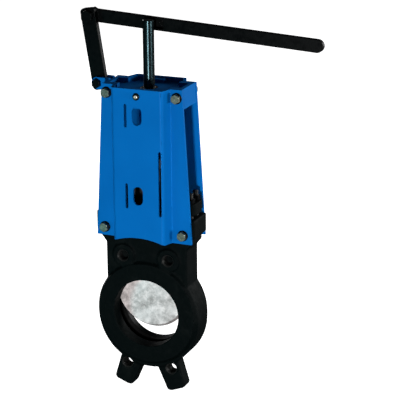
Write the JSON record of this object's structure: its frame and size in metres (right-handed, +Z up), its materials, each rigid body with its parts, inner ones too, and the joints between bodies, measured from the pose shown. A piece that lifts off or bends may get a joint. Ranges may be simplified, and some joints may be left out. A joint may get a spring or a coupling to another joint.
{
  "type": "knife gate valve",
  "caption": "Lever-operated wafer knife gate valve: a cast ring body with a sliding plate gate, a bent-sheet yoke, a rising stem and a swinging link.",
  "frame": {"origin": "centre of the bore, halfway between the two pipe faces", "axes": "+Z up along the stem, +Y along the bore towards the rear pipe face, +X towards the lever's free end"},
  "size_m": [0.3523, 0.0926, 0.5502],
  "materials": {
    "cast_black": "black paint on a casting, semi-gloss",
    "blue_paint": "blue paint on bent sheet, satin",
    "black_steel": "black, satin",
    "stainless": "mill finish, mottled",
    "stem_steel": "polished",
    "zinc_steel": "dull zinc plate",
    "seat_rubber": "matte",
    "guide_nylon": "matte",
    "packing_ptfe": "braided, matte",
    "bush_bronze": "turned"
  },
  "bodies": {
    "frame": {"valve_body": "cast_black", "packing_gland": "cast_black", "yoke_plate_front": "blue_paint", "yoke_plate_rear": "blue_paint", "top_bridge": "blue_paint", "seat_retainer": "black_steel", "ear_bolt": "black_steel", "ear_nut": "black_steel", "plate_screw": "black_steel", "yoke_washer_front_top_left": "black_steel", "yoke_washer_front_top_right": "black_steel", "yoke_washer_front_low_left": "black_steel", "yoke_washer_front_low_right": "black_steel", "yoke_washer_rear_top_left": "black_steel", "yoke_washer_rear_top_right": "black_steel", "yoke_washer_rear_low_left": "black_steel", "yoke_washer_rear_low_right": "black_steel", "gland_stud_1": "black_steel", "gland_stud_2": "black_steel", "gland_stud_3": "black_steel", "gland_stud_4": "black_steel", "gland_nut_1": "black_steel", "gland_nut_2": "black_steel", "gland_nut_3": "black_steel", "gland_nut_4": "black_steel", "yoke_bolt_front_top_left": "zinc_steel", "yoke_bolt_front_top_right": "zinc_steel", "yoke_bolt_front_low_left": "zinc_steel", "yoke_bolt_front_low_right": "zinc_steel", "yoke_bolt_rear_top_left": "zinc_steel", "yoke_bolt_rear_top_right": "zinc_steel", "yoke_bolt_rear_low_left": "zinc_steel", "yoke_bolt_rear_low_right": "zinc_steel", "seat_ring": "seat_rubber", "gate_guide_left": "guide_nylon", "gate_guide_right": "guide_nylon", "packing_ring_1": "packing_ptfe", "packing_ring_2": "packing_ptfe", "packing_ring_3": "packing_ptfe", "stem_bush": "bush_bronze"},
    "stem": {"stem": "stem_steel", "gate": "stainless", "stem_clevis": "zinc_steel", "clevis_bolt": "zinc_steel", "clevis_nut": "zinc_steel", "stem_pin": "zinc_steel"},
    "link": {"link": "black_steel"},
    "lever": {"lever": "black_steel", "corner_bolt": "black_steel", "corner_nut": "black_steel"}
  },
  "joints": [
    {"name": "gate_travel", "type": "slide", "parent": "frame", "child": "stem", "axis": [0, 0, 1], "range_m": [-0.0245, 0.0785]},
    {"name": "link_swing", "type": "hinge", "parent": "frame", "child": "link", "pos_m": [-0.077, 0.004, 0.327], "axis": [0, -1, 0], "range_deg": [-8.3, 2.7]},
    {"name": "lever_tilt", "type": "hinge", "parent": "link", "child": "lever", "pos_m": [-0.0915, 0.0123, 0.42], "axis": [0, -1, 0], "range_deg": [-17.5, 55.4]}
  ],
  "couplings": [
    {"joint": "link_swing", "follows": "gate_travel", "rad_per_m": -1.8},
    {"joint": "lever_tilt", "follows": "gate_travel", "rad_per_m": 12.26}
  ]
}
